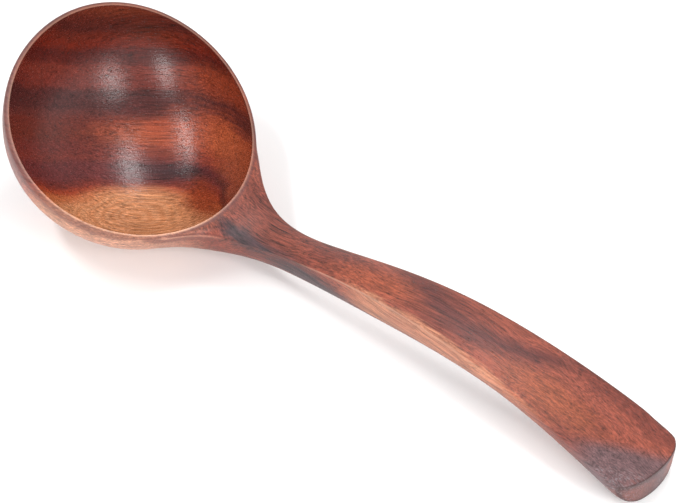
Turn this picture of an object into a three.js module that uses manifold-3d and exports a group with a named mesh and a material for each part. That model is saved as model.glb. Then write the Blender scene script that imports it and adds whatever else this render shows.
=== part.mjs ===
// A soup ladle carved from one blank of hardwood: a round bowl, a narrow neck and a long, broadening
// handle that rises out of the bowl's rim and droops towards its end.
// Millimetres. The ladle lies at rest on a table: z = 0 is the table top, touched by the small sanded
// flat under the bowl and by the underside of the handle's end. The origin is the middle of that flat,
// +X runs along the handle, +Z is up.
import * as THREE from 'three';
import { mergeVertices } from 'three/addons/utils/BufferGeometryUtils.js';
import Module from 'manifold-3d';

// ---- driving dimensions -----------------------------------------------------------------------
// The bowl and the handle are worked out in the rim's own frame: its origin is the centre of the rim,
// x runs towards the handle and z is the way the bowl opens.
const RIM_RADIUS = 43.6; // outside of the lip
const LIP_WIDTH = 1.7; // the wall where it ends in the lip
const LIP_ROUNDING = 0.7; // the outer edge of the lip is sanded back by this much
const BOWL_DEPTH = 31.5; // inside, from the rim down
const FLOOR_THICKNESS = 3.5; // under the middle of the bowl
const RIM_SADDLE = 3.0; // the rim rises this much fore and aft, and dips as much at its two sides

// The bowl is cut by hand, so it is a little out of round: slightly oval, and slightly three-sided.
const OVAL = 0.028;
const OVAL_ANGLE = THREE.MathUtils.degToRad(-54);
const THREE_SIDED = 0.017;
const THREE_SIDED_ANGLE = THREE.MathUtils.degToRad(-9);

const REST_TILT = THREE.MathUtils.degToRad(22.5); // the rim leans back towards the handle when laid down
const FLAT_DEPTH = 0.8; // how much of the round underside is sanded away to make the resting flat

// Stations along the handle: distance from the rim's centre, height of the top face over the rim
// plane, half width, and depth from the top face down to the belly.
const STATIONS = [
  [27, 2.0, 26.0, 22.0],
  [34, 1.8, 22.6, 23.0],
  [40, 1.6, 18.2, 22.0],
  [46, 1.6, 13.6, 19.0],
  [54, 3.4, 8.9, 15.2],
  [63, 7.2, 6.3, 12.8],
  [73, 13.2, 5.8, 13.2],
  [88, 24.0, 6.7, 15.8],
  [105, 34.6, 8.4, 17.0],
  [125, 44.0, 10.2, 14.8],
  [150, 51.4, 11.8, 11.2],
  [175, 55.2, 13.6, 10.4],
  [192, 56.2, 14.6, 10.3],
  [212, 56.2, 15.0, 9.9],
];
const ARRIS = 0.12; // rounding of the top edges, as a share of the section
const CROWN = 0.09; // how much the top face swells, as a share of the depth
const HANDLE_REACH = 201.2; // from the rim's centre to the end of the handle's top face
const TIP_LENGTH = 6.5; // the tip is a half ellipse in plan, this long ...
const TIP_HALF_WIDTH = 15.0; // ... and this far across to each side
const TIP_SKEW = 0.12; // it is cut a little askew, ...
const TIP_LEAN = THREE.MathUtils.degToRad(18); // ... and its end face leans out below the top face
const TIP_TOP = 56.2; // height of the top face at the tip

// ---- fineness ---------------------------------------------------------------------------------
const ROUND_SEGMENTS = 64;
const WALL_SEGMENTS = 13;
const SECTION_SEGMENTS = 5;
const HANDLE_STEPS = 44;

const wasm = await Module();
wasm.setup();

// Makes a closed three.js geometry a manifold solid.
function solidOf(geometry) {
  const bare = geometry.clone();
  bare.deleteAttribute('normal');
  bare.deleteAttribute('uv');
  const merged = mergeVertices(bare, 1e-4);
  const mesh = new wasm.Mesh({
    numProp: 3,
    vertProperties: new Float32Array(merged.attributes.position.array),
    triVerts: new Uint32Array(merged.index.array),
  });
  return new wasm.Manifold(mesh);
}

// Turns a manifold solid back into a three.js geometry.
function geometryOf(solid) {
  const mesh = solid.getMesh();
  const geometry = new THREE.BufferGeometry();
  geometry.setAttribute('position', new THREE.BufferAttribute(mesh.vertProperties, 3));
  geometry.setIndex(new THREE.BufferAttribute(mesh.triVerts, 1));
  geometry.computeVertexNormals();
  return geometry;
}

// Moves every vertex of a geometry by a function of its place.
function reshape(geometry, place) {
  const position = geometry.attributes.position;
  const point = new THREE.Vector3();
  for (let i = 0; i < position.count; i += 1) {
    point.fromBufferAttribute(position, i);
    place(point);
    position.setXYZ(i, point.x, point.y, point.z);
  }
  return geometry;
}

// A solid of revolution about z: a quarter ellipse from the pole up to the rim plane, then the given
// points, the last of them back on the axis. It is then made out of round, and its rim is bent to
// the saddle.
function turned(radius, depth, upperPoints) {
  const profile = [];
  for (let i = 0; i <= WALL_SEGMENTS; i += 1) {
    const angle = ((i / WALL_SEGMENTS) * Math.PI) / 2;
    const x = i === 0 ? 0 : radius * Math.sin(angle);
    profile.push(new THREE.Vector2(x, -depth * Math.cos(angle)));
  }
  const points = profile.concat(upperPoints.map(([x, z]) => new THREE.Vector2(x, z)));
  const lathe = new THREE.LatheGeometry(points, ROUND_SEGMENTS);
  lathe.rotateX(Math.PI / 2);
  return reshape(lathe, (p) => {
    const angle = Math.atan2(p.y, p.x);
    const oval = OVAL * Math.cos(2 * (angle - OVAL_ANGLE));
    const threeSided = THREE_SIDED * Math.cos(3 * (angle - THREE_SIDED_ANGLE));
    p.x *= 1 + oval + threeSided;
    p.y *= 1 + oval + threeSided;
    const heightShare = Math.max(0, Math.min(1, 1 + p.z / depth));
    p.z += (RIM_SADDLE * (p.x * p.x - p.y * p.y) * heightShare) / (RIM_RADIUS * RIM_RADIUS);
  });
}

// The handle's section on a unit square: a slightly swollen top, two softened edges and a round belly.
function handleSection() {
  const section = new THREE.Shape();
  section.moveTo(-1 + ARRIS, 0);
  section.quadraticCurveTo(0, 2 * CROWN, 1 - ARRIS, 0);
  section.quadraticCurveTo(1, -ARRIS / 4, 1, -ARRIS);
  section.bezierCurveTo(1, -0.7, 0.62, -1, 0, -1);
  section.bezierCurveTo(-0.62, -1, -1, -0.7, -1, -ARRIS);
  section.quadraticCurveTo(-1, -ARRIS / 4, -1 + ARRIS, 0);
  return section;
}

// A smooth curve of one column of the stations over their distance from the rim's centre. All the
// columns share the same distances, so the same t is the same place on each of them.
function stationCurve(column) {
  return new THREE.SplineCurve(STATIONS.map((row) => new THREE.Vector2(row[0], row[column])));
}

// The handle: its section extruded over unit length and laid along the stations, ...
function handleBar() {
  const top = stationCurve(1);
  const halfWidth = stationCurve(2);
  const depth = stationCurve(3);
  const bar = new THREE.ExtrudeGeometry(handleSection(), {
    depth: 1,
    steps: HANDLE_STEPS,
    curveSegments: SECTION_SEGMENTS,
    bevelEnabled: false,
  });
  return reshape(bar, (p) => {
    const t = p.z;
    const along = top.getPoint(t);
    p.z = along.y + p.y * depth.getPoint(t).y;
    p.y = p.x * halfWidth.getPoint(t).y;
    p.x = along.x;
  });
}

// ... then trimmed by a block whose plan ends in the curve of the tip, sheared to the end face's lean.
function handle() {
  const shoulder = HANDLE_REACH - TIP_LENGTH;
  const taper = 40;
  const wide = 60;
  const back = -60;
  const plan = new THREE.Shape();
  plan.moveTo(back, -wide);
  plan.lineTo(shoulder - taper, -wide);
  plan.lineTo(shoulder, -TIP_HALF_WIDTH);
  plan.absellipse(shoulder, 0, TIP_LENGTH, TIP_HALF_WIDTH, -Math.PI / 2, Math.PI / 2);
  plan.lineTo(shoulder - taper, wide);
  plan.lineTo(back, wide);
  const height = 200;
  const block = new THREE.ExtrudeGeometry(plan, { depth: height, curveSegments: 12, bevelEnabled: false });
  block.translate(0, 0, -height / 2);
  reshape(block, (p) => {
    p.x += TIP_SKEW * p.y + Math.tan(TIP_LEAN) * (TIP_TOP - p.z);
  });
  return solidOf(handleBar()).intersect(solidOf(block));
}

// The whole ladle: the turned outside and the handle become one, then the bowl is hollowed.
function ladle() {
  const outside = turned(RIM_RADIUS, BOWL_DEPTH + FLOOR_THICKNESS, [
    [RIM_RADIUS - LIP_ROUNDING, LIP_ROUNDING],
    [0, LIP_ROUNDING],
  ]);
  const clear = 30;
  const hollow = turned(RIM_RADIUS - LIP_WIDTH, BOWL_DEPTH, [
    [RIM_RADIUS - LIP_WIDTH, clear],
    [0, clear],
  ]);
  const carved = solidOf(outside).add(handle()).subtract(solidOf(hollow));

  // Lay it down, with the lowest point of its round underside FLAT_DEPTH under the table, ...
  const geometry = geometryOf(carved);
  const depth = BOWL_DEPTH + FLOOR_THICKNESS;
  const sunk = Math.hypot(RIM_RADIUS * Math.sin(REST_TILT), depth * Math.cos(REST_TILT));
  const across = RIM_RADIUS * RIM_RADIUS - depth * depth;
  const flatX = (across * Math.sin(REST_TILT) * Math.cos(REST_TILT)) / sunk;
  geometry.rotateY(REST_TILT);
  geometry.translate(-flatX, 0, sunk - FLAT_DEPTH);

  // ... and sand off what is below it.
  const table = new THREE.BoxGeometry(600, 200, 20);
  table.translate(0, 0, -10);
  return geometryOf(solidOf(geometry).subtract(solidOf(table)));
}

const oiledHardwood = new THREE.MeshStandardMaterial({ color: 0x7a4433, roughness: 0.45, metalness: 0 });

const group = new THREE.Group();
const mesh = new THREE.Mesh(ladle(), oiledHardwood);
mesh.name = 'ladle';
group.add(mesh);

export default group;
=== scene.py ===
# A soup ladle carved from one blank of hardwood and finished with oil, lying on a pale table.
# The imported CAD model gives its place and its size. Everything is in metres, +Z up.
import math

import bmesh
import bpy
from mathutils import Matrix, Vector
from mathutils.geometry import interpolate_bezier


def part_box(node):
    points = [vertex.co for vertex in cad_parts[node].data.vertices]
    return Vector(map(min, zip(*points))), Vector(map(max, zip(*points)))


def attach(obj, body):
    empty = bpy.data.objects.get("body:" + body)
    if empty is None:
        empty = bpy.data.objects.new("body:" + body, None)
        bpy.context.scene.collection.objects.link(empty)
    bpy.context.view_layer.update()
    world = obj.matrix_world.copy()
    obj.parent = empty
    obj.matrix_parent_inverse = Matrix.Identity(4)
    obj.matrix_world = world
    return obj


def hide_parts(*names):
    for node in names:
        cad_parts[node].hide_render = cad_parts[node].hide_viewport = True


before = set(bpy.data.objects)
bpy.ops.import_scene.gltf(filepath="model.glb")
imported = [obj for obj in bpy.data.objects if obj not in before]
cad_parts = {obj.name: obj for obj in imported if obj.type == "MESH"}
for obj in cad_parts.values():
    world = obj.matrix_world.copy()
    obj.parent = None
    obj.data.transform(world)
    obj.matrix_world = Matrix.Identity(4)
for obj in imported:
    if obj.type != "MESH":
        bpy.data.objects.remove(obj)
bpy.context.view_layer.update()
scene = bpy.context.scene

# ---- Camera -----------------------------------------------------------------------------------
# A long lens looks down on the ladle from the side of its near edge. The ladle runs across the frame
# from corner to corner, with the bowl at the upper left.
CAMERA_AIM = Vector((0.0778, 0.0010, 0.0270))
CAMERA_DISTANCE = 0.900
CAMERA_TURN = math.radians(37.6)
CAMERA_HEIGHT_ANGLE = math.radians(47.8)
SENSOR_WIDTH = 36.0  # millimetres, as is the focal length
FOCAL_LENGTH = 150.3

lens = bpy.data.cameras.new("camera")
lens.sensor_width = SENSOR_WIDTH
lens.lens = FOCAL_LENGTH
camera = bpy.data.objects.new("camera", lens)
scene.collection.objects.link(camera)
towards_camera = Vector((
    math.sin(CAMERA_TURN) * math.cos(CAMERA_HEIGHT_ANGLE),
    -math.cos(CAMERA_TURN) * math.cos(CAMERA_HEIGHT_ANGLE),
    math.sin(CAMERA_HEIGHT_ANGLE),
))
camera.location = CAMERA_AIM + CAMERA_DISTANCE * towards_camera
camera.rotation_euler = (math.pi / 2 - CAMERA_HEIGHT_ANGLE, 0, CAMERA_TURN)
scene.camera = camera

# ---- Table ------------------------------------------------------------------------------------
# A smooth square board under a coat of matt white paint. The ladle only lies on it, and the pale room
# begins where it ends.
TABLE_SIZE = 1.3

board = bmesh.new()
bmesh.ops.create_grid(board, x_segments=1, y_segments=1, size=TABLE_SIZE / 2)
table_mesh = bpy.data.meshes.new("table")
board.to_mesh(table_mesh)
board.free()
table = bpy.data.objects.new("table", table_mesh)
scene.collection.objects.link(table)
white_paint = bpy.data.materials.new("matt_white")
white_paint.use_nodes = True
paint = white_paint.node_tree.nodes["Principled BSDF"]
paint.inputs["Base Color"].default_value = (0.97, 0.97, 0.97, 1)
paint.inputs["Roughness"].default_value = 0.9
paint.inputs["Specular IOR Level"].default_value = 0.1
table_mesh.materials.append(white_paint)

# ---- Studio light -----------------------------------------------------------------------------
# Two long strip lights, each hung in two lengths, a low one and a high one, shine into the bowl. The
# pale walls of the room fill the shadows, and its ceiling is dimmer so that the oiled wood keeps its
# depth.
WALL_BRIGHTNESS = 1.25
CEILING_BRIGHTNESS = 0.48
WALL_TOP = 0.25  # as heights on a sphere of radius one, as is the next
CEILING_START = 0.60
STRIP_DISTANCE = 0.95
STRIPS = [
    # name, direction from the bowl, long axis, length, width, power
    ("strip_right_low", (0.82, -0.12, 0.50), (-0.45, 0.10, 0.85), 0.50, 0.10, 3.1),
    ("strip_right_high", (0.02, 0.36, 0.93), (-0.80, 0.55, 0.0), 0.42, 0.10, 2.9),
    ("strip_left_low", (0.34, -0.75, 0.52), (-0.45, 0.30, 0.85), 0.50, 0.10, 3.1),
    ("strip_left_high", (-0.34, -0.27, 0.90), (-0.75, 0.60, 0.0), 0.42, 0.10, 2.9),
]

room = bpy.data.worlds.new("pale_room")
room.use_nodes = True
room_nodes = room.node_tree.nodes
sky = room_nodes.new("ShaderNodeTexCoord")
sky_parts = room_nodes.new("ShaderNodeSeparateXYZ")
brightness = room_nodes.new("ShaderNodeMapRange")
brightness.interpolation_type = "SMOOTHSTEP"
brightness.inputs["From Min"].default_value = WALL_TOP
brightness.inputs["From Max"].default_value = CEILING_START
brightness.inputs["To Min"].default_value = WALL_BRIGHTNESS
brightness.inputs["To Max"].default_value = CEILING_BRIGHTNESS
room_nodes["Background"].inputs["Color"].default_value = (1, 1, 1, 1)
room.node_tree.links.new(sky.outputs["Generated"], sky_parts.inputs[0])
room.node_tree.links.new(sky_parts.outputs["Z"], brightness.inputs["Value"])
room.node_tree.links.new(brightness.outputs["Result"], room_nodes["Background"].inputs["Strength"])
scene.world = room
scene.view_settings.view_transform = "Standard"  # the colours of the wood are shown as they are

for name, bearing, long_axis, length, width, power in STRIPS:
    strip = bpy.data.lights.new(name, "AREA")
    strip.shape = "RECTANGLE"
    strip.size = length
    strip.size_y = width
    strip.energy = power
    lamp = bpy.data.objects.new(name, strip)
    scene.collection.objects.link(lamp)
    outwards = Vector(bearing).normalized()
    lengthwise = Vector(long_axis)
    lengthwise = (lengthwise - lengthwise.dot(outwards) * outwards).normalized()
    widthwise = outwards.cross(lengthwise)
    aim = Matrix((lengthwise, widthwise, outwards)).transposed().to_4x4()
    lamp.matrix_world = Matrix.Translation(outwards * STRIP_DISTANCE) @ aim
    lamp.visible_camera = False

# ---- Ladle ------------------------------------------------------------------------------------
# One piece of dense, reddish brown hardwood: a thin walled round bowl, a narrow neck that grows out
# of its rim, and a long handle that broadens and droops towards a rounded end. It is carved from
# the blank, sanded smooth and oiled, so nothing is joined or fixed.

# Sizes in millimetres, in the rim's own frame: the middle of the rim is the origin, x runs to the
# handle and z is the way the bowl opens.
MILLIMETRE = 0.001
RIM_RADIUS = 43.6
LIP_WIDTH = 1.7
LIP_BEVEL = 0.7
BOWL_DEPTH = 31.5
FLOOR_THICKNESS = 3.5
RIM_SADDLE = 3.0  # the rim rises this much fore and aft, and dips as much at its two sides
OVAL = 0.028  # a share of the radius, as is the next: the bowl is a little out of round
OVAL_TURN = math.radians(-54)
THREE_SIDED = 0.017
THREE_SIDED_TURN = math.radians(-9)
REST_TILT = math.radians(22.5)  # the rim leans back towards the handle when the ladle lies down
FLAT_DEPTH = 0.8  # of the round underside is sanded away, so that the bowl doesn't roll
ROUNDING_LOSS = 1.004  # the smoothed surface lies this much inside the one that is laid out

# Distance from the middle of the rim, height of the handle's top, half width, and depth.
STATIONS = [
    (34, 1.8, 22.6, 23.0),
    (40, 2.0, 18.2, 22.0),
    (46, 1.9, 13.6, 19.0),
    (54, 3.4, 8.9, 15.2),
    (63, 7.2, 6.3, 12.8),
    (73, 13.2, 5.8, 13.2),
    (88, 24.0, 6.7, 15.8),
    (105, 34.6, 8.4, 17.0),
    (125, 44.0, 10.2, 14.8),
    (150, 51.4, 11.8, 11.2),
    (175, 55.2, 13.6, 10.4),
    (192, 56.2, 14.6, 10.3),
    (212, 56.2, 15.0, 9.9),
]
TOP_CROWN = 0.09  # how much the top face swells, as a share of the depth
HANDLE_REACH = 201.2  # to the end of the top face, which ends in half an ellipse ...
TIP_LENGTH = 6.5
TIP_HALF_WIDTH = 15.0
TIP_SKEW = 0.12  # ... cut a little askew, and its end face leans out below it
TIP_LEAN = math.radians(18)
TIP_TOP = 56.2

# The mesh of the bowl: its floor is a square of 10 by 10 that is bent to the round, and its wall has
# 40 columns above that, 9 degrees apart, in rows as far apart. The rim is row 0, and column 0 faces
# the handle. The neck takes 4 columns to each side of that one, and 4 rows.
FLOOR_SQUARES = 10
FLOOR_LEAN = math.radians(45)
WALL_STEP = math.radians(9)
NECK_COLUMNS = 4
NECK_ROWS = 4
FLOOR_ROW = 9  # marks the floor, which is in no row of the wall

shape = bmesh.new()
column_of = shape.verts.layers.int.new("column")
row_of = shape.verts.layers.int.new("row")
crease_of = shape.edges.layers.float.new("crease_edge")
inside_mark = shape.verts.layers.float.new("inside")
rub_and_highlight_mark = shape.verts.layers.float.new("rub_and_highlight_edge")
end_mark = shape.verts.layers.float.new("end_edge")


def cut_by_hand(place, depth):
    """Makes a true round slightly oval and slightly three sided, and bends its rim to a saddle."""
    turn = math.atan2(place.y, place.x)
    swell = 1 + OVAL * math.cos(2 * (turn - OVAL_TURN))
    swell += THREE_SIDED * math.cos(3 * (turn - THREE_SIDED_TURN))
    height_share = max(0.0, min(1.0, 1 + place.z / depth))
    x = place.x * swell
    y = place.y * swell
    rise = RIM_SADDLE * (x * x - y * y) * height_share / RIM_RADIUS ** 2
    return Vector((x, y, place.z + rise))


def on_round(turn, lean, radius, depth):
    """A place on the round: lean is 0 at the bottom and a right angle at the rim."""
    radius = radius * ROUNDING_LOSS
    place = Vector((
        radius * math.sin(lean) * math.cos(turn),
        radius * math.sin(lean) * math.sin(turn),
        -depth * math.cos(lean) * ROUNDING_LOSS,
    ))
    return cut_by_hand(place, depth)


def raise_edge(edges):
    """Extrudes a loop of edges and gives the new edges and vertices."""
    made = bmesh.ops.extrude_edge_only(shape, edges=edges)["geom"]
    new_edges = [part for part in made if isinstance(part, bmesh.types.BMEdge)]
    new_verts = [part for part in made if isinstance(part, bmesh.types.BMVert)]
    return [edge for edge in new_edges if edge.is_boundary], new_verts


def round_cup(radius, depth):
    """A cup open at the rim plane. Gives the loop of edges round its rim."""
    grid = bmesh.ops.create_grid(
        shape, x_segments=FLOOR_SQUARES, y_segments=FLOOR_SQUARES, size=1.0
    )
    floor = set(grid["verts"])
    for vert in floor:
        # the square's places are spaced evenly by angle, and then bent to a disc of radius one
        u = math.sqrt(2) * math.sin(vert.co.x * math.pi / 4)
        v = math.sqrt(2) * math.sin(vert.co.y * math.pi / 4)
        x = u * math.sqrt(1 - v * v / 2)
        y = v * math.sqrt(1 - u * u / 2)
        vert[row_of] = FLOOR_ROW
        vert.co = on_round(math.atan2(y, x), math.hypot(x, y) * FLOOR_LEAN, radius, depth)
    rim = [edge for edge in shape.edges if edge.is_boundary and edge.verts[0] in floor]
    wall_rows = round((math.pi / 2 - FLOOR_LEAN) / WALL_STEP)
    for row in range(wall_rows - 1, -1, -1):
        rim, verts = raise_edge(rim)
        for vert in verts:
            # the floor's outline is out of round too, so the turn is rounded to its column
            column = round(math.atan2(vert.co.y, vert.co.x) / WALL_STEP)
            vert[column_of] = column
            vert[row_of] = row
            vert.co = on_round(column * WALL_STEP, math.pi / 2 - row * WALL_STEP, radius, depth)
    return rim


def measures(x):
    """The height of the top, the half width and the depth of the handle at a distance x, on a smooth
    curve through the stations."""
    at = max(i for i in range(1, len(STATIONS) - 2) if STATIONS[i][0] <= x or i == 1)
    before, start, end, after = STATIONS[at - 1:at + 3]
    span = end[0] - start[0]
    t = (x - start[0]) / span
    values = []
    for k in (1, 2, 3):
        slope_in = (end[k] - before[k]) / (end[0] - before[0]) * span
        slope_out = (after[k] - start[k]) / (after[0] - start[0]) * span
        value = start[k] * (1 + 2 * t) * (1 - t) ** 2 + slope_in * t * (1 - t) ** 2
        value += end[k] * (3 - 2 * t) * t ** 2 + slope_out * (t - 1) * t ** 2
        values.append(value)
    return values


# The handle's section, on a half width and a depth of one: the side and belly run from the top
# corner down to the middle of the belly, and row 4 meets the belly half way along that curve.
SIDE_CURVE = interpolate_bezier(
    Vector((1.0, 0.0)),
    Vector((1.0, -0.72)),
    Vector((0.62, -1.0)),
    Vector((0.0, -1.0)),
    NECK_ROWS + NECK_COLUMNS + 1,
)
TOP_SPREAD = math.radians(18)  # the columns crowd towards the edges of the top, as sines do


def section(column, row):
    """Where a column and a row of the neck's patch lie on the section: the patch is stretched between
    the top, the belly and the two sides."""
    share = math.sin(column * TOP_SPREAD) / math.sin(NECK_COLUMNS * TOP_SPREAD)
    top = Vector((share, TOP_CROWN * (1 - share * share)))
    belly = SIDE_CURVE[2 * NECK_COLUMNS - abs(column)].copy()
    side = SIDE_CURVE[row].copy()
    corner = SIDE_CURVE[NECK_COLUMNS]
    down = row / NECK_ROWS
    out = column / NECK_COLUMNS
    belly.x = math.copysign(belly.x, column)
    edge_share = abs(out)
    y = (1 - down) * top.x + down * belly.x
    y += out * (side.x - (1 - down) - down * corner.x)
    z = (1 - down) * top.y + down * belly.y
    z += edge_share * (side.y - down * corner.y)
    return y, z


# Rings of the handle: distance at the middle of the top, how far its sides lag, and how far its
# belly lags. The first ones turn gradually from the round wall to a straight cut.
NECK_RINGS = [(49.0, 6.0, 7.0), (54.5, 3.6, 5.5), (60.5, 1.8, 3.5), (67.5, 0.6, 1.5)]
PLAIN_RINGS = [75, 83, 92, 102, 113, 125, 138, 151, 163, 173]
# Rings of the tip: how far each one lies inside the end, how fully it takes the end's curve, and how
# far its two corners are rounded off.
TIP_RINGS = [
    (18.0, 0.3, 0.0),
    (9.5, 0.7, 0.0),
    (3.2, 1.0, 0.003),
    (0.7, 1.0, 0.022),
    (0.0, 1.0, 0.055),
]
CORNER_POWER = 6  # the rounding hardly reaches past the outermost columns


def on_section(x, column, row):
    """A place on the handle, straight across it at a distance x."""
    across, down = section(column, row)
    top, half_width, depth = measures(x)
    return Vector((x, across * half_width, top + down * depth))


def on_neck(ring, column, row):
    """A place on one of the neck's rings."""
    middle, side_lag, belly_lag = ring
    across, down = section(column, row)
    return on_section(middle - side_lag * across * across + belly_lag * down, column, row)


def on_tip(ring, column, row):
    """A place on one of the tip's rings. Its x and y depend on each other, and settle in 3 rounds."""
    inset, curve_share, corner_loss = ring
    place = on_section(HANDLE_REACH - inset, column, row)
    for _ in range(3):
        across = min(1.0, abs(place.y) / TIP_HALF_WIDTH)
        bulge = TIP_LENGTH * (math.sqrt(1 - across * across) - 1)
        skew = TIP_SKEW * place.y + math.tan(TIP_LEAN) * (TIP_TOP - place.z)
        place = on_section(HANDLE_REACH - inset + curve_share * (bulge + skew), column, row)
    place.y *= 1 - corner_loss * (column / NECK_COLUMNS) ** CORNER_POWER
    return place


def draw_out(faces, place_at, ring):
    """Extrudes the neck's patch by one ring and gives its new faces."""
    made = bmesh.ops.extrude_face_region(shape, geom=faces)["geom"]
    bmesh.ops.delete(shape, geom=faces, context="FACES")
    for part in made:
        if isinstance(part, bmesh.types.BMVert):
            part.co = place_at(ring, part[column_of], part[row_of])
    return [part for part in made if isinstance(part, bmesh.types.BMFace)]


outer_rim = round_cup(RIM_RADIUS, BOWL_DEPTH + FLOOR_THICKNESS)

# The neck and handle are drawn out of the part of the wall that faces them.
front = [
    face for face in shape.faces
    if all(abs(vert[column_of]) <= NECK_COLUMNS and vert[row_of] <= NECK_ROWS for vert in face.verts)
]
for ring in NECK_RINGS + [(x, 0, 0) for x in PLAIN_RINGS]:
    front = draw_out(front, on_neck, ring)
for ring in TIP_RINGS:
    front = draw_out(front, on_tip, ring)
end_edges = {edge for face in front for edge in face.edges}
end_edges = [edge for edge in end_edges if any(face not in front for face in edge.link_faces)]

# The lip: a narrow level crest, with a sanded bevel outside it that dies out at the neck. The finish
# reads each edge's mark: about a half is bevel, and 1 is painted pale, partly wear and partly a painted
# highlight.
BEVEL_FADE = (math.radians(36), math.radians(63))
BEVEL_RUB = 0.5
OUTER_CREST_RUB = 0.7
FULL_RUB_AND_HIGHLIGHT = 1.0
INNER_CREST_CREASE = 0.8
OUTER_CREST_CREASE = 0.5
BEVEL_CREASE = 0.3


def bevel_share(column):
    """1 where the lip has its full bevel, 0 where it runs into the neck."""
    turn = abs(column) * WALL_STEP
    t = (turn - BEVEL_FADE[0]) / (BEVEL_FADE[1] - BEVEL_FADE[0])
    t = max(0.0, min(1.0, t))
    return t * t * (3 - 2 * t)


for vert in {vert for edge in outer_rim for vert in edge.verts}:
    vert.co.z += LIP_BEVEL * (1 - bevel_share(vert[column_of]))
    vert[rub_and_highlight_mark] = BEVEL_RUB * bevel_share(vert[column_of])
outer_crest, crest_verts = raise_edge(outer_rim)
outer_verts = set(shape.verts)
for vert in crest_verts:
    vert[rub_and_highlight_mark] = OUTER_CREST_RUB
    column = vert[column_of]
    vert.co = on_round(column * WALL_STEP, math.pi / 2, RIM_RADIUS - LIP_BEVEL, BOWL_DEPTH)
    vert.co.z += LIP_BEVEL

inner_rim = round_cup(RIM_RADIUS - LIP_WIDTH, BOWL_DEPTH)
inner_crest, crest_verts = raise_edge(inner_rim)
for vert in crest_verts:
    vert.co.z += LIP_BEVEL
    vert[rub_and_highlight_mark] = FULL_RUB_AND_HIGHLIGHT
for vert in set(shape.verts) - outer_verts:
    vert[inside_mark] = 1
for edge in inner_crest:
    edge[crease_of] = INNER_CREST_CREASE
for edge in outer_crest:
    edge[crease_of] = OUTER_CREST_CREASE * min(bevel_share(vert[column_of]) for vert in edge.verts)
for edge in outer_rim:
    edge[crease_of] = BEVEL_CREASE * min(bevel_share(vert[column_of]) for vert in edge.verts)
bmesh.ops.bridge_loops(shape, edges=outer_crest + inner_crest)

# The edges of the handle's top are crisper in the neck than on the blade, and they are rounded off
# where they run into the tip. The edge round the end face is crisp except at its corners.
NECK_END = 80.0
NECK_CREASE = 0.45
BLADE_END = HANDLE_REACH - TIP_LENGTH - 4.0
BLADE_CREASE = 0.35
END_CREASE = 0.4
CORNER_CREASE = 0.1
SHORTEST_ARRIS = 2.0  # anything shorter belongs to the end face

for edge in shape.edges:
    first, second = edge.verts
    same_column = first[column_of] == second[column_of] and abs(first[column_of]) == NECK_COLUMNS
    at_top = first[row_of] == 0 and second[row_of] == 0
    if same_column and at_top and edge.calc_length() > SHORTEST_ARRIS:
        first[rub_and_highlight_mark] = FULL_RUB_AND_HIGHLIGHT
        second[rub_and_highlight_mark] = FULL_RUB_AND_HIGHLIGHT
        middle = (first.co.x + second.co.x) / 2
        if middle < NECK_END:
            edge[crease_of] = NECK_CREASE
        elif middle < BLADE_END:
            edge[crease_of] = BLADE_CREASE
for edge in end_edges:
    at_corner = any(abs(vert[column_of]) == NECK_COLUMNS for vert in edge.verts)
    edge[crease_of] = CORNER_CREASE if at_corner else END_CREASE
    for vert in edge.verts:
        vert[end_mark] = 1

# Tilted back until the handle's end touches the table, made metres, and sanded smooth.
bmesh.ops.recalc_face_normals(shape, faces=shape.faces)
bmesh.ops.rotate(shape, verts=shape.verts, matrix=Matrix.Rotation(REST_TILT, 3, "Y"))
bmesh.ops.scale(shape, verts=shape.verts, vec=(MILLIMETRE, MILLIMETRE, MILLIMETRE))
blank = bpy.data.meshes.new("carved_ladle")
shape.to_mesh(blank)
shape.free()
ladle = bpy.data.objects.new("carved_ladle", blank)
scene.collection.objects.link(ladle)
smoothing = ladle.modifiers.new("sanding", "SUBSURF")
smoothing.levels = 3
smoothing.render_levels = 3
bpy.context.view_layer.update()
carved = bpy.data.meshes.new_from_object(ladle.evaluated_get(bpy.context.evaluated_depsgraph_get()))
ladle.modifiers.clear()
ladle.data = carved

# Laid with its middle where the CAD ladle has its own, lowered into the table by the flat's depth, and
# sanded flat there.
lowest = min(vert.co.z for vert in carved.vertices)
reaches = [vert.co.x for vert in carved.vertices]
cad_low, cad_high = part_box("ladle")
shift = Vector((
    (cad_low.x + cad_high.x) / 2 - (min(reaches) + max(reaches)) / 2,
    0,
    -lowest - FLAT_DEPTH * MILLIMETRE,
))
for vert in carved.vertices:
    vert.co += shift
    vert.co.z = max(0.0, vert.co.z)
for face in carved.polygons:
    face.use_smooth = True

# The wood, in millimetres of the finished ladle. In the bowl the fibres run on a slant to the handle,
# and the growth layers lie across them.
FIBRES_IN_BOWL = (0.792, 0.610, 0.0)
LAYERS_ACROSS = (-0.452, 0.587, 0.672)
LAYERS_DEEP = (0.410, -0.532, 0.741)
LAYER_AT_ORIGIN = 19.3

wood = bpy.data.materials.new("oiled_hardwood")
wood.use_nodes = True
tree = wood.node_tree
tree.nodes.clear()


def put(kind, sockets, **settings):
    """Adds a node, and sets or links its sockets."""
    node = tree.nodes.new("ShaderNode" + kind)
    for name, value in settings.items():
        setattr(node, name, value)
    for socket, value in sockets.items():
        if isinstance(value, bpy.types.NodeSocket):
            tree.links.new(value, node.inputs[socket])
        else:
            node.inputs[socket].default_value = value
    return node


def calc(operation, first, second=0.0):
    """One sum on numbers or sockets."""
    return put("Math", {0: first, 1: second}, operation=operation).outputs[0]


def total(*values):
    """The values added up."""
    result = values[0]
    for value in values[1:]:
        result = calc("ADD", result, value)
    return result


def product(*values):
    """The values multiplied."""
    result = values[0]
    for value in values[1:]:
        result = calc("MULTIPLY", result, value)
    return result


def along(place, direction):
    """How far a place lies in a direction."""
    return put("VectorMath", {0: place, 1: direction}, operation="DOT_PRODUCT").outputs["Value"]


def vector(x, y, z):
    """A place from its three parts."""
    return put("CombineXYZ", {0: x, 1: y, 2: z}).outputs[0]


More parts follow.
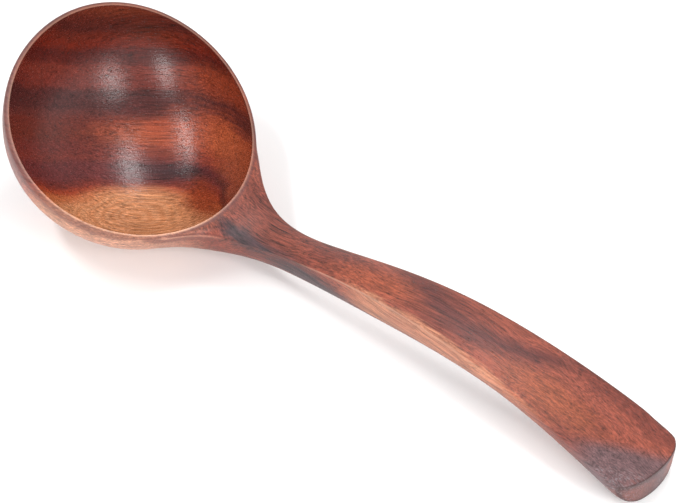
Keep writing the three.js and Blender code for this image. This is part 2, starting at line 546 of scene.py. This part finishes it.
def fade(value, start, end):
    """0 at start, 1 at end, and smooth between them."""
    sockets = {"Value": value, "From Min": start, "From Max": end}
    return put("MapRange", sockets, interpolation_type="SMOOTHSTEP").outputs["Result"]


def stretched(place, lengths, centre=(0, 0, 0), turn=0.0):
    """The place from a centre, turned about z, with each axis measured in its own length."""
    sockets = {"Vector": place, "Location": centre, "Scale": lengths}
    sockets["Rotation"] = (0, 0, math.radians(turn))
    return put("Mapping", sockets, vector_type="TEXTURE").outputs["Vector"]


def mottle(place, length, width, detail=2.0, roughness=0.5):
    """Soft noise about zero, drawn out along the first axis."""
    sockets = {"Vector": stretched(place, (length, width, width)), "Scale": 1.0}
    sockets["Detail"] = detail
    sockets["Roughness"] = roughness
    return calc("SUBTRACT", put("TexNoise", sockets).outputs["Fac"], 0.5)


def tint(code):
    """A colour from its screen value."""
    parts = [int(code[k:k + 2], 16) / 255 for k in (0, 2, 4)]
    return [part / 12.92 if part < 0.04 else ((part + 0.055) / 1.055) ** 2.4 for part in parts] + [1]


def layer_over(colour, share, over):
    """A colour with a share of another over it."""
    return put("Mix", {0: share, 6: colour, 7: over}, data_type="RGBA").outputs[2]


def bands(value, low, high, stops):
    """Colours of the growth layers, from one side of the blank to the other."""
    share = put("MapRange", {"Value": value, "From Min": low, "From Max": high}).outputs["Result"]
    node = put("ValToRGB", {0: share})
    ramp = node.color_ramp
    ramp.interpolation = "EASE"
    ramp.elements.remove(ramp.elements[1])
    ramp.elements[0].position = 0
    ramp.elements[0].color = tint(stops[0][1])
    for at, code in stops[1:]:
        ramp.elements.new((at - low) / (high - low)).color = tint(code)
    return node.outputs["Color"]


def reach(place, centre, half_sizes, turn=0.0):
    """0 at the centre of an ellipsoid and 1 on it."""
    sockets = {0: stretched(place, half_sizes, centre, turn)}
    return put("VectorMath", sockets, operation="LENGTH").outputs["Value"]


def scaled(place, factor):
    """A place or a colour times a factor."""
    return put("VectorMath", {0: place, "Scale": factor}, operation="SCALE").outputs["Vector"]


def moved(place, shift):
    """A place and a shift added up."""
    return put("VectorMath", {0: place, 1: shift}, operation="ADD").outputs["Vector"]


def stained(colour, place, stains):
    """Lays soft patches of other colours over a colour, with edges that fray along the fibres."""
    frayed = product(mottle(place, 16, 1.1, 3.0, 0.6), 1.4)
    for centre, half_sizes, turn, softness, code, strength in stains:
        from_centre = total(reach(place, centre, half_sizes, turn), frayed)
        share = fade(from_centre, 1 + softness, 1 - softness)
        colour = layer_over(colour, product(share, strength), tint(code))
    return colour


def grained(colour, place, strength):
    """Fibres, streaks and open pores along the first axis. Gives the colour and the height."""
    streaks = mottle(place, 45, 1.4, 4.0, 0.6)
    fibres = mottle(place, 6, 0.36, 2.0, 0.6)
    specks = mottle(place, 0.55, 0.36, 1.0)
    threads = mottle(place, 22, 0.5, 1.0)
    variation = total(
        product(streaks, 1.3),
        product(fibres, 1.2),
        product(threads, 1.6),
        product(specks, 0.7),
    )
    colour = scaled(colour, total(1.0, product(variation, strength)))
    pores = fade(mottle(place, 2.0, 0.32, 1.0), 0.14, 0.22)
    colour = layer_over(colour, product(pores, 0.4), tint("2E1614"))
    height = total(product(fibres, 0.8), product(specks, 0.7), product(pores, -0.8))
    return colour, height


place = scaled(put("TexCoord", {}).outputs["Object"], 1 / MILLIMETRE)

# Slow waves in the grain, a few millimetres each way, and calmer ones for stains that have a place.
WAVE_LENGTHS = (38, 16, 16)
WAVE = 7.0
CALM = 0.3
waves = put("TexNoise", {"Vector": stretched(place, WAVE_LENGTHS), "Scale": 1.0, "Detail": 2.0})
waves = scaled(moved(waves.outputs["Color"], (-0.5, -0.5, -0.5)), WAVE)
wavy_place = moved(place, waves)
calm_place = moved(place, scaled(waves, CALM))

# The bowl: how far along the fibres, across the layers and deep into them. The layers dip towards
# the neck, ever more steeply, and they ripple.
DIP_START = 5.0
DIP_SPAN = 30.0
DIP_POWER = 2.4
DIP = 12.5
RIPPLE = 6.0
SMUDGE = 9.0
fibre = along(place, FIBRES_IN_BOWL)
layer = total(along(place, LAYERS_ACROSS), LAYER_AT_ORIGIN)
depth = along(place, LAYERS_DEEP)
straight = vector(fibre, layer, depth)
past_start = product(total(fibre, -DIP_START), 1 / DIP_SPAN)
dip = calc("POWER", calc("MAXIMUM", past_start, 0.0), DIP_POWER)
layer = total(layer, product(dip, DIP), product(mottle(straight, 60, 14, 3.0), RIPPLE))
bowl_place = vector(fibre, layer, depth)
flat_place = vector(total(fibre, product(mottle(straight, 14, 9), SMUDGE)), layer, 0.0)

# The layers, by millimetres across them: pale wood on the near side, then dark and red by turns.
bowl_colour = bands(layer, -10, 100, [
    (-10, "B8876F"), (6, "C0886A"), (10, "BC815C"), (17, "BA7C55"), (21.0, "AC5E38"), (23.6, "913A22"),
    (25.4, "702C22"), (28, "622A29"), (31.5, "602A29"), (34.5, "6E2E26"), (38, "662A24"), (41.5, "62291F"),
    (46.5, "62281F"), (49.5, "5A2924"), (52, "4A2220"), (56.5, "48201E"), (59, "662820"), (64, "6C2A1F"),
    (67, "521C16"), (69.0, "4C1813"), (71.8, "662013"), (74, "602216"), (77, "481D18"), (80, "54221A"),
    (84, "6C3020"), (92, "7A4034"), (100, "6A3A30"),
])

# Where the cut only grazes a pale layer, its rings show as a patch of ovals.
RIGHT_THROUGH = 1e4  # a stain that goes through the whole blank
RING_WAVES = 40.0  # radians of wave from the middle of the patch to its rim
pale_patch = reach(flat_place, (-4.5, 15.0, 0), (21, 9.0, RIGHT_THROUGH))
pale_share = product(fade(pale_patch, 1.35, 0.75), fade(fibre, 17.0, 2.0))
pale_rings = calc("SINE", product(pale_patch, RING_WAVES))
pale_wood = layer_over(tint("B8744A"), total(product(pale_rings, 0.22), 0.5), tint("CC9169"))

# Stains: centre and half sizes along the fibres and across the layers, turn, softness, colour and
# strength.
bowl_colour = stained(bowl_colour, flat_place, [
    # the first stain, bright orange red in the middle of the bowl, is partly a painted highlight where the
    # lamps glint
    ((-2.0, 42.5, 0), (15, 4.6, RIGHT_THROUGH), 0, 0.8, "A04E32", 0.8),
    ((24.0, 62.0, 0), (14, 5.0, RIGHT_THROUGH), 0, 0.8, "883A20", 0.7),
    ((17.0, 44.0, 0), (17, 8.0, RIGHT_THROUGH), 0, 0.6, "903F26", 0.85),
    ((24.5, 43.5, 0), (7, 5.5, RIGHT_THROUGH), 0, 0.8, "A25030", 0.8),
    ((30.0, 36.0, 0), (7, 8.0, RIGHT_THROUGH), 0, 0.7, "8C452C", 0.8),
    ((10.5, 29.6, 0), (10, 2.2, RIGHT_THROUGH), 0, 0.7, "301D1F", 0.85),
    ((-2.0, 31.0, 0), (10, 2.4, RIGHT_THROUGH), 0, 0.8, "40282C", 0.6),
    ((16.5, 21.5, 0), (6, 5.5, RIGHT_THROUGH), 0, 0.8, "84381F", 0.9),
    ((24.0, 23.0, 0), (1.6, 7.0, RIGHT_THROUGH), 0, 0.8, "3A1E1B", 0.75),
    ((30.0, 26.0, 0), (4.5, 9.0, RIGHT_THROUGH), 0, 0.7, "874630", 0.8),
])
bowl_colour = layer_over(bowl_colour, pale_share, pale_wood)
bowl_colour, bowl_height = grained(bowl_colour, bowl_place, 1.0)

# The handle: reddish brown, with one dark layer that the top face cuts through, and a pale one along
# its near edge.
DARK_LAYER_MIDDLE = 130.0
DARK_LAYER_SHIFT = 1.0  # towards the near edge
DARK_LAYER_RADIUS = 45.0  # it bends away to the far edge on either side of its middle
DARK_LAYER_HALF_WIDTH = 6.5
x = along(calm_place, (1.0, 0.0, 0.0))
y = along(calm_place, (0.0, 1.0, 0.0))
tone = mottle(wavy_place, 42, 7, 3.0)
handle_colour = layer_over(tint("70352A"), fade(tone, -0.12, 0.12), tint("884434"))
handle_colour = stained(handle_colour, calm_place, [
    ((47.0, 4.0, 20.0), (15, 12, 12), 0, 0.7, "6A3328", 0.7),
    ((163.0, -5.0, 24.0), (17, 6, 30), 4, 0.7, "8C472C", 0.8),
    ((94.0, -2.0, 27.0), (17, 4.5, 14), 4, 0.8, "95492F", 0.75),
])
from_middle = total(x, -DARK_LAYER_MIDDLE)
bow = product(from_middle, from_middle, -0.5 / DARK_LAYER_RADIUS)
off_layer = total(y, bow, DARK_LAYER_SHIFT, product(mottle(calm_place, 20, 1.6, 3.0), 7.0))
dark_share = product(
    fade(calc("ABSOLUTE", off_layer), DARK_LAYER_HALF_WIDTH, 0.0),
    fade(x, 92.0, 116.0),
    fade(x, 176.0, 150.0),
)
handle_colour = layer_over(handle_colour, product(dark_share, 0.85), tint("4E2423"))

# The dull, dark end is bounded by a slanting line through this place on the near edge.
END_LINE_PLACE = (173.5, -10.7)
END_LINE_NORMAL = (0.574, -0.819)
end_side = total(
    product(total(x, -END_LINE_PLACE[0]), END_LINE_NORMAL[0]),
    product(total(y, -END_LINE_PLACE[1]), END_LINE_NORMAL[1]),
)
end_share = product(fade(end_side, -0.5, 4.5), fade(x, 172.0, 186.0))
handle_colour = layer_over(handle_colour, product(end_share, 0.9), tint("5C474A"))

# The near side is paler: partly a pale layer that the near edge cuts, partly painted light where that side
# faces the lamps. The neck cuts a nearly black layer.
NEAR_EDGE_SLOPE = 0.079
NEAR_EDGE_START = 0.35
frayed_edge = product(mottle(calm_place, 25, 1.0, 3.0), 6.0)
from_edge = total(y, product(x, NEAR_EDGE_SLOPE), -NEAR_EDGE_START, frayed_edge)
near_pale_and_lit_share = product(
    fade(from_edge, 1.8, -0.8),
    fade(x, 80.0, 98.0),
    fade(x, 176.0, 140.0),
    0.6,
)
handle_colour = layer_over(handle_colour, near_pale_and_lit_share, tint("BC8262"))
handle_colour = stained(handle_colour, calm_place, [
    ((44.0, -7.2, 19.0), (15, 2.7, 4.0), 5, 0.6, "33252A", 0.92),
    ((70.0, -6.4, 13.5), (18, 3.0, 5.0), 0, 0.5, "30262B", 0.92),
    ((197.0, -9.0, 6.0), (8, 9.0, 5.0), 0, 0.5, "6C3A32", 0.85),
])

# On the outside of the bowl the figure is washed with pale grey pink, more on the near side: partly paler
# wood, partly painted sheen. It runs into the handle's.
pale_wash_and_sheen_share = total(0.1, product(fade(y, 15.0, -25.0), 0.3))
outer_colour = layer_over(bowl_colour, pale_wash_and_sheen_share, tint("A67C72"))
past_bowl = fade(x, 18.0, 38.0)
outside_colour = layer_over(outer_colour, past_bowl, handle_colour)
neck_strength = total(1.0, product(fade(x, 28.0, 42.0), fade(x, 95.0, 65.0), 0.4))
handle_grain, handle_height = grained(outside_colour, wavy_place, neck_strength)

# The lip has a dark bevel under a pale crest, and the near edge of the handle has a pale line too: partly
# wear, partly a painted highlight along the edges. The far edge and the edge of the end are dark, and the
# oil is thin on the scuffed end.
inside = put("Attribute", {}, attribute_name="inside").outputs["Fac"]
rub_and_highlight = put("Attribute", {}, attribute_name="rub_and_highlight_edge").outputs["Fac"]
ended = put("Attribute", {}, attribute_name="end_edge").outputs["Fac"]
colour = layer_over(handle_grain, inside, bowl_colour)
on_lip = fade(x, 42.0, 34.0)
bevel = product(fade(rub_and_highlight, 0.1, 0.4), fade(rub_and_highlight, 0.95, 0.7), on_lip)
colour = layer_over(colour, product(bevel, 0.6), tint("5A2A26"))
on_near_edge = product(fade(x, 60.0, 78.0), fade(x, 160.0, 130.0), fade(y, 0.0, -3.0))
# painted highlight, partly wear: a pale line along the lip's crest and the handle's near edge
crest = product(fade(rub_and_highlight, 0.7, 1.0), total(product(on_lip, 0.35), product(on_near_edge, 0.5)))
colour = layer_over(colour, crest, tint("C0917A"))
on_far_edge = product(fade(x, 50.0, 60.0), fade(y, 0.0, 3.0), fade(rub_and_highlight, 0.3, 1.0))
dark_edge = calc("MAXIMUM", product(on_far_edge, 0.45), product(fade(ended, 0.2, 0.8), 0.85))
colour = layer_over(colour, dark_edge, tint("3A1D1C"))
scratches = fade(mottle(wavy_place, 3.0, 0.5, 3.0, 0.7), -0.02, 0.22)
scuffs = product(scratches, fade(end_side, 6.0, 12.0), end_share)
colour = layer_over(colour, product(scuffs, 0.5), tint("A0979C"))

# The oil is polished in the bowl and duller outside, and the grain stands up a little.
OUTSIDE_DULLNESS = 0.44
INSIDE_DULLNESS = 0.25
GRAIN_HEIGHT = 0.08 * MILLIMETRE
height = put("Mix", {0: inside, 2: handle_height, 3: bowl_height}).outputs[0]
relief = put("Bump", {"Height": height, "Strength": 0.8, "Distance": GRAIN_HEIGHT}).outputs["Normal"]
polish = product(inside, INSIDE_DULLNESS - OUTSIDE_DULLNESS)
dullness = total(OUTSIDE_DULLNESS, polish, product(height, 0.15), product(scuffs, 0.2))
finish = put("BsdfPrincipled", {"Base Color": colour, "Roughness": dullness, "Normal": relief})
finish.inputs["Specular IOR Level"].default_value = 0.45
put("OutputMaterial", {"Surface": finish.outputs["BSDF"]})

carved.materials.clear()
carved.materials.append(wood)
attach(ladle, "root")
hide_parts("ladle")
